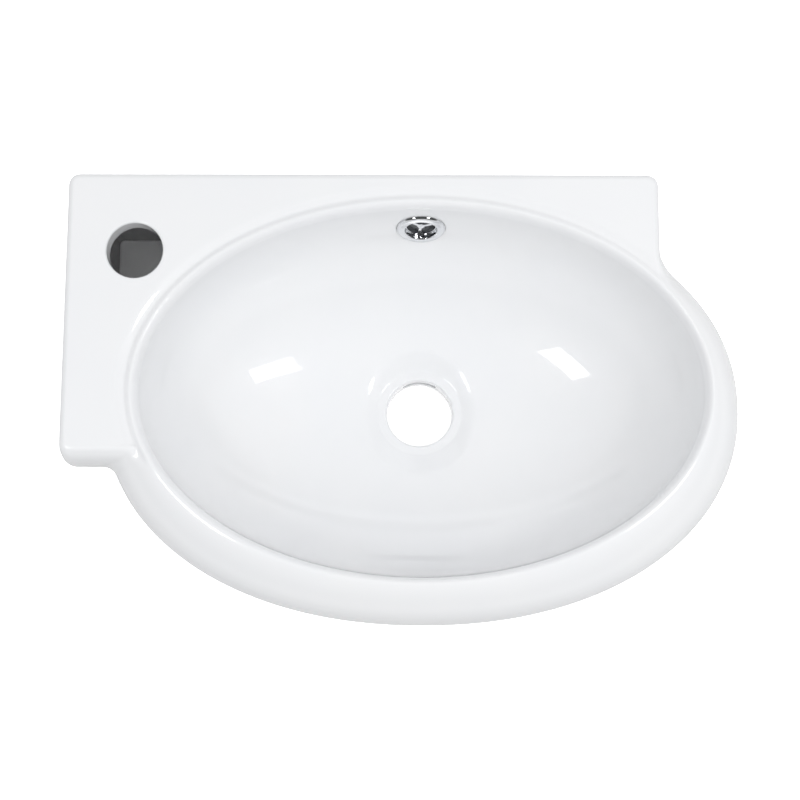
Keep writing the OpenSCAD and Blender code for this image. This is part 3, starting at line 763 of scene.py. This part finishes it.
round_end = SLEEVE_END + SLEEVE_ROUND
ring_section = (bend(INNER + SLEEVE_ROUND, round_end, SLEEVE_ROUND, 180, 270)
                + bend(OUTER - SLEEVE_ROUND, round_end, SLEEVE_ROUND, 270, 360)
                + [(OUTER + CATCH, SLEEVE_END + 1), (OUTER, SLEEVE_END + 2 - PLAY),
                   (OUTER, BACK + PLAY)]
                + bend(FLANGE_R - RIM_ROUND - PLAY, BACK + RIM_ROUND + 2 * PLAY, RIM_ROUND,
                       270, 360)
                + bend(FLANGE_R - DOME - PLAY, BACK + 0.15, DOME, 2, 84, 16)
                + bend(INNER + MOUTH_ROUND, FACE - MOUTH_ROUND - PLAY, MOUTH_ROUND, 86, 180, 10))
ring = as_object(spun(ring_section), "chromed_ring")
for i in range(3):
    slot = bmesh.new()
    place = (about_axis(120 * i + 30) @ Matrix.Translation(SLOT_MIDDLE)
             @ Matrix.Diagonal(SLOT_SIZE))
    bmesh.ops.create_cube(slot, size=1, matrix=place)
    combine(ring, slot, "DIFFERENCE")
report(ring)
ring.data.transform(AT_OVERFLOW)
settle(ring, "overflow_insert", "overflow_ring")

# %% [markdown]
# Inside the sleeve sits a small cast guard in the shape of a Y: a rim, a hub and three arms. Its
# edges are a little round from the plating, and it sits in the sleeve a few degrees turned.

# %% Guard in the overflow
GUARD_R, GUARD_T, GUARD_BACK, GUARD_FACE, GUARD_TURN = 10.19, 0.88, -4.9, 0.1, -98
GUARD_ROUND, HUB_R = 0.14, 2.5
ARM_MIDDLE, ARM_SIZE, ARM_EDGE = (5.0, 0, -2.4), (9.5, 2.2, 4.96, 1), 0.3


def rounded(inner, outer, back, face, r):
    """A four-sided section with its corners rounded."""
    return (bend(inner + r, back + r, r, 180, 270) + bend(outer - r, back + r, r, 270, 360)
            + bend(outer - r, face - r, r, 0, 90) + bend(inner + r, face - r, r, 90, 180))


guard_rim = rounded(GUARD_R - GUARD_T, GUARD_R, GUARD_BACK + PLAY, GUARD_FACE - PLAY, GUARD_ROUND)
guard = as_object(spun(guard_rim), "chromed_guard")
hub = [(HUB_R - GUARD_ROUND, GUARD_BACK), (HUB_R, GUARD_BACK + GUARD_ROUND),
       (HUB_R, GUARD_FACE - 0.35), (HUB_R - 0.1, GUARD_FACE - 0.12),
       (HUB_R - 0.35, GUARD_FACE - PLAY)]
combine(guard, turned(hub, parts=64), "UNION")
for i in range(3):
    arm = bmesh.new()
    place = (about_axis(120 * i + GUARD_TURN) @ Matrix.Translation(ARM_MIDDLE)
             @ Matrix.Diagonal(ARM_SIZE))
    bmesh.ops.create_cube(arm, size=1, matrix=place)
    bmesh.ops.bevel(arm, geom=arm.edges[:], offset=ARM_EDGE, segments=4, profile=0.5,
                    affect="EDGES", material=-1)
    combine(guard, arm, "UNION")
report(guard)
guard.data.transform(AT_OVERFLOW)
settle(guard, "overflow_insert", "overflow_spider")

# %% [markdown]
# A soft washer lies between flange and glaze, and a nylon bush sits in each fixing hole with
# its collar against the pad, so that the steel bolt never touches the ceramic.

# %% Seal and bushes
SEAL_IN, SEAL_OUT, SEAL_ROUND = 11.25, 14.45, 0.29
BORE_R, BARREL_R, COLLAR_R, BUSH_START, COLLAR_START, BUSH_END = 5.25, 7.94, 13.5, 0.5, 13.0, 15.5
BORE_ROUND, BARREL_ROUND, COLLAR_BACK, COLLAR_FACE = 0.5, 0.34, 0.3, 0.8
seal_section = rounded(SEAL_IN + PLAY, SEAL_OUT - PLAY, PLAY, BACK - PLAY, SEAL_ROUND)
seal = as_object(spun(seal_section), "overflow_washer")
report(seal)
seal.data.transform(AT_OVERFLOW)
settle(seal, "overflow_insert", "overflow_seal")
bore, back = BORE_R + BORE_ROUND, BUSH_START + PLAY
bush_section = (bend(bore, BUSH_START + BORE_ROUND, BORE_ROUND - PLAY, 180, 270)
                + [(BARREL_R - BARREL_ROUND, back), (BARREL_R, back + BARREL_ROUND),
                   (BARREL_R, COLLAR_START - PLAY)]
                + bend(COLLAR_R - COLLAR_BACK, COLLAR_START + COLLAR_BACK, COLLAR_BACK - PLAY,
                       270, 360)
                + bend(COLLAR_R - COLLAR_FACE, BUSH_END - COLLAR_FACE, COLLAR_FACE - PLAY, 0, 90)
                + bend(bore, BUSH_END - BORE_ROUND, BORE_ROUND - PLAY, 90, 180))
bushes = []
for name, place in zip(("left", "right"), at_fixings):
    bush = as_object(spun(bush_section, 72), name + "_bush")
    bush.data.transform(place)
    report(bush)
    settle(bush, "basin", name + "_fixing_bush")
    bushes.append(bush)

# %% [markdown]
# A finish is a material with a few plain values, and with noise that makes its colour, its
# gloss and its surface vary a little from place to place. The noise is laid in the object's
# own space, so it stays with the piece when the piece moves.

# %% Tools for the finishes
NOISE_LOW, NOISE_HIGH = 0.35, 0.65


def finish(name, values):
    material = bpy.data.materials.new(name)
    material.use_nodes = True
    shader = material.node_tree.nodes["Principled BSDF"]
    for socket, value in values.items():
        shader.inputs[socket].default_value = value
    return material, shader


def noise(material, scale, detail=3.0):
    """Noise in the object's own space, with the scale in waves per metre."""
    nodes, links = material.node_tree.nodes, material.node_tree.links
    place, texture = nodes.new("ShaderNodeTexCoord"), nodes.new("ShaderNodeTexNoise")
    texture.inputs["Scale"].default_value = scale
    texture.inputs["Detail"].default_value = detail
    links.new(place.outputs["Object"], texture.inputs["Vector"])
    return texture


def spread_out(material, texture, low, high, socket):
    """Drives a socket of the shader from low to high by a texture."""
    nodes, links = material.node_tree.nodes, material.node_tree.links
    reach = nodes.new("ShaderNodeMapRange")
    for end, value in (("From Min", NOISE_LOW), ("From Max", NOISE_HIGH),
                       ("To Min", low), ("To Max", high)):
        reach.inputs[end].default_value = value
    links.new(texture.outputs["Fac"], reach.inputs["Value"])
    links.new(reach.outputs["Result"], socket)


def tinted(material, texture, first, second, socket):
    """Drives a colour between two tints by a texture."""
    nodes, links = material.node_tree.nodes, material.node_tree.links
    ramp = nodes.new("ShaderNodeValToRGB")
    for stop, position, tint in zip(ramp.color_ramp.elements, (NOISE_LOW, NOISE_HIGH),
                                    (first, second)):
        stop.position, stop.color = position, (*tint, 1)
    links.new(texture.outputs["Fac"], ramp.inputs["Fac"])
    links.new(ramp.outputs["Color"], socket)


def relief(material, shader, layers, sockets=("Normal",)):
    """Waves in the surface; each layer is (texture, height in metres)."""
    nodes, links = material.node_tree.nodes, material.node_tree.links
    before = None
    for texture, height in layers:
        bump = nodes.new("ShaderNodeBump")
        bump.inputs["Strength"].default_value = 1.0
        bump.inputs["Distance"].default_value = height
        links.new(texture.outputs["Fac"], bump.inputs["Height"])
        if before:
            links.new(before.outputs["Normal"], bump.inputs["Normal"])
        before = bump
    for socket in sockets:
        links.new(before.outputs["Normal"], shader.inputs[socket])


print("noise is used between", NOISE_LOW, "and", NOISE_HIGH)

# %% [markdown]
# The glaze is a clear glassy coat over white clay: the clay scatters the light, the coat mirrors
# the lamps, and both vary a little from place to place, as fired glaze does. Chrome over brass
# is a slightly uneven mirror.

# %% Glaze and chrome
glaze, shader = finish("vitreous_china", {"Roughness": 0.3, "IOR": 1.5, "Coat Weight": 1.0,
                                          "Coat IOR": 1.5, "Specular IOR Level": 0.2})
tinted(glaze, noise(glaze, 14.0, 2.0), (0.905, 0.915, 0.93), (0.92, 0.927, 0.937),
       shader.inputs["Base Color"])
spread_out(glaze, noise(glaze, 60.0), 0.03, 0.06, shader.inputs["Coat Roughness"])
relief(glaze, shader, [(noise(glaze, 22.0, 1.0), 0.00003), (noise(glaze, 600.0, 2.0), 0.0000008)],
       ("Normal", "Coat Normal"))
chrome, shader = finish("chrome", {"Metallic": 1.0})
tinted(chrome, noise(chrome, 90.0), (0.76, 0.77, 0.79), (0.8, 0.81, 0.82),
       shader.inputs["Base Color"])
spread_out(chrome, noise(chrome, 400.0, 4.0), 0.04, 0.09, shader.inputs["Roughness"])
relief(chrome, shader, [(noise(chrome, 250.0, 2.0), 0.000004)])
print("finishes:", glaze.name, chrome.name)

# %% [markdown]
# The washer is a milky rubber, and the bushes are moulded nylon with a fine grain. With these
# two, every piece can be given its finish; the cuts left other slots behind, so each piece is
# cleared first.

# %% Rubber and nylon
rubber, shader = finish("seal", {"IOR": 1.45, "Subsurface Weight": 0.3, "Subsurface Scale": 0.001})
tinted(rubber, noise(rubber, 300.0), (0.5, 0.5, 0.5), (0.58, 0.58, 0.57),
       shader.inputs["Base Color"])
spread_out(rubber, noise(rubber, 900.0), 0.45, 0.6, shader.inputs["Roughness"])
relief(rubber, shader, [(noise(rubber, 1500.0, 3.0), 0.00001)])
nylon, shader = finish("bush", {"IOR": 1.53, "Subsurface Weight": 0.2, "Subsurface Scale": 0.001})
tinted(nylon, noise(nylon, 200.0), (0.78, 0.78, 0.75), (0.83, 0.83, 0.8),
       shader.inputs["Base Color"])
spread_out(nylon, noise(nylon, 700.0), 0.35, 0.5, shader.inputs["Roughness"])
relief(nylon, shader, [(noise(nylon, 2500.0, 3.0), 0.000008)])


def dress(thing, material):
    thing.data.materials.clear()
    thing.data.materials.append(material)
    thing.data.polygons.foreach_set("material_index", [0] * len(thing.data.polygons))


finished = [(casting, glaze), (ring, chrome), (guard, chrome), (seal, rubber)]
finished += [(bush, nylon) for bush in bushes]
for thing, material in finished:
    dress(thing, material)
    print(thing.name, "is finished in", material.name)

# %% [markdown]
# The picture is a cut-out on pure white that keeps only a soft shadow. The basin stands on
# white paper, and the paper is shown in three ways. To the eye it is lifted to white. In the
# mirror of the glaze and the chrome it is plain paper. The light that it throws back up at the
# basin is that of a grey table, because white paper would light the underside of the roll.

# %% Floor
FLOOR_HALF, FLOOR_GAP = 1.5, 0.2 * MM
TABLE, LIFT = 0.35, 0.9


def shown(material, shader, lift):
    """Gives a backdrop its three looks: for lamplight, for mirrors and for the eye."""
    nodes, links = material.node_tree.nodes, material.node_tree.links
    table, extra = nodes.new("ShaderNodeBsdfDiffuse"), nodes.new("ShaderNodeBsdfDiffuse")
    lifted, rays = nodes.new("ShaderNodeAddShader"), nodes.new("ShaderNodeLightPath")
    table.inputs["Color"].default_value = (TABLE, TABLE, TABLE, 1)
    extra.inputs["Color"].default_value = (lift, lift, lift, 1)
    links.new(shader.outputs["BSDF"], lifted.inputs[0])
    links.new(extra.outputs["BSDF"], lifted.inputs[1])
    face = table.outputs["BSDF"]
    for kind, other in (("Is Glossy Ray", shader.outputs["BSDF"]),
                        ("Is Transmission Ray", shader.outputs["BSDF"]),
                        ("Is Camera Ray", lifted.outputs["Shader"])):
        pick = nodes.new("ShaderNodeMixShader")
        links.new(rays.outputs[kind], pick.inputs["Fac"])
        links.new(face, pick.inputs[1])
        links.new(other, pick.inputs[2])
        face = pick.outputs["Shader"]
    links.new(face, nodes["Material Output"].inputs["Surface"])


sheet = bmesh.new()
bmesh.ops.create_grid(sheet, x_segments=8, y_segments=8, size=FLOOR_HALF,
                      matrix=Matrix.Translation((0, 0, cad_box[0][2] - FLOOR_GAP)))
floor = as_object(sheet, "floor")
paper, shader = finish("paper", {"Specular IOR Level": 0.0, "Roughness": 1.0})
tinted(paper, noise(paper, 2.0), (0.97, 0.97, 0.97), (0.98, 0.98, 0.98),
       shader.inputs["Base Color"])
shown(paper, shader, LIFT)
floor.data.materials.append(paper)
print("floor at", round(cad_box[0][2] - FLOOR_GAP, 4))

# %% [markdown]
# The studio round the basin is a world of soft light: dimmer near the ground, most of all in
# front, and brighter overhead. The eye sees it plain white. Glaze and chrome see a white
# horizon that falls off to a dark ceiling, so the deck and the bowl mirror little but the lamps.

# %% Sky
LOW_FRONT, LOW_BACK, HIGH_FRONT, HIGH_BACK = 0.22, 0.55, 0.85, 0.6
LOW_END, HIGH_START = 0.0, 0.7
CEILING, CEILING_START, CEILING_END = 0.08, 0.1, 0.4
world = bpy.data.worlds.new("studio")
bpy.context.scene.world = world
world.use_nodes = True
nodes, links = world.node_tree.nodes, world.node_tree.links
nodes.clear()
split, way = nodes.new("ShaderNodeSeparateXYZ"), nodes.new("ShaderNodeTexCoord")
links.new(way.outputs["Generated"], split.inputs["Vector"])


def along(axis, low, high, start, end, kind="LINEAR"):
    """A value that runs from start to end as the ray's direction runs from low to high."""
    reach = nodes.new("ShaderNodeMapRange")
    reach.interpolation_type = kind
    for socket, value in (("From Min", low), ("From Max", high),
                          ("To Min", start), ("To Max", end)):
        reach.inputs[socket].default_value = value
    links.new(split.outputs[axis], reach.inputs["Value"])
    return reach.outputs["Result"]


def glow(colour, strength):
    sky = nodes.new("ShaderNodeBackground")
    sky.inputs["Color"].default_value = (*colour, 1)
    if isinstance(strength, float):
        sky.inputs["Strength"].default_value = strength
    else:
        links.new(strength, sky.inputs["Strength"])
    return sky.outputs["Background"]


def choose(factor, otherwise, chosen):
    choice = nodes.new("ShaderNodeMixShader")
    for socket, source in zip(choice.inputs, (factor, otherwise, chosen)):
        links.new(source, socket)
    return choice.outputs["Shader"]


blend, rays = nodes.new("ShaderNodeMix"), nodes.new("ShaderNodeLightPath")
links.new(along("Z", LOW_END, HIGH_START, 0, 1, "SMOOTHSTEP"), blend.inputs["Factor"])
links.new(along("Y", -1, 1, LOW_FRONT, LOW_BACK), blend.inputs["A"])
links.new(along("Y", -1, 1, HIGH_FRONT, HIGH_BACK), blend.inputs["B"])
soft = glow((0.99, 0.993, 1.0), blend.outputs["Result"])
mirrored = glow((1, 1, 1), along("Z", CEILING_START, CEILING_END, 1.0, CEILING, "SMOOTHSTEP"))
white = glow((1, 1, 1), 1.0)
sky = choose(rays.outputs["Is Glossy Ray"], soft, mirrored)
sky = choose(rays.outputs["Is Transmission Ray"], sky, white)
sky = choose(rays.outputs["Is Camera Ray"], sky, white)
links.new(sky, nodes.new("ShaderNodeOutputWorld").inputs["Surface"])
print("sky of", len(nodes), "nodes")

# %% [markdown]
# Two square soft boxes hang over the basin, left and right: their mirror images are the two
# bright patches on the bowl. A large diffuser overhead lights it evenly and is kept out of the
# glaze. A small light pad under the waste hole keeps it as white as the paper round the basin.

# %% Lamps
PAD_R, PAD_T, PAD_GLOW, PAD_LIFT = 25.0, 0.5, 0.55, 0.3


def lamp(name, place, across, width, height, radiance):
    """A soft box of even brightness that faces the bowl, with its width along this direction."""
    data = bpy.data.lights.new(name, "AREA")
    data.shape, data.size, data.size_y = "RECTANGLE", width, height
    data.energy = radiance * width * height * math.pi
    thing = bpy.data.objects.new(name, data)
    back = (Vector(place) - Vector((BOWL_X, -BOWL_Y, 0)) * MM).normalized()
    up = back.cross(Vector(across)).normalized()
    axes = Matrix((up.cross(back), up, back)).transposed()
    thing.matrix_world = Matrix.Translation(place) @ axes.to_4x4()
    bpy.context.scene.collection.objects.link(thing)
    return thing


lamp("right soft box", (0.693, -0.401, 1.075), (-0.056, 0.152, 0.078), 0.18, 0.32, 12.0)
lamp("left soft box", (-0.588, -0.496, 1.062), (-0.121, -0.065, -0.098), 0.17, 0.377, 10.0)
diffuser = lamp("overhead diffuser", (0.7, -0.1, 1.5), (1, 0, 0), 1.7, 1.7, 0.66)
diffuser.visible_glossy = False
under_waste = Matrix.Translation((BOWL_X, -BOWL_Y, DECK_Z - BASIN_H + 1))
pad = as_object(turned([(PAD_R - 0.1, 0), (PAD_R, PAD_T)], under_waste, 64), "light pad")
pad.data.transform(Matrix.Scale(MM, 4))
lit, shader = finish("light pad", {"Emission Color": (1, 1, 1, 1), "Emission Strength": PAD_GLOW})
tinted(lit, noise(lit, 30.0), (0.9, 0.9, 0.9), (0.92, 0.92, 0.92), shader.inputs["Base Color"])
shown(lit, shader, PAD_LIFT)
pad.data.materials.append(lit)
print("lamps:", [light.name for light in bpy.data.lights])

# %% [markdown]
# The picture is square, and its tones are left as the light makes them.

# %% Picture
scene = bpy.context.scene
scene.render.resolution_x = scene.render.resolution_y = 800
scene.view_settings.view_transform = "Standard"
bpy.context.view_layer.update()
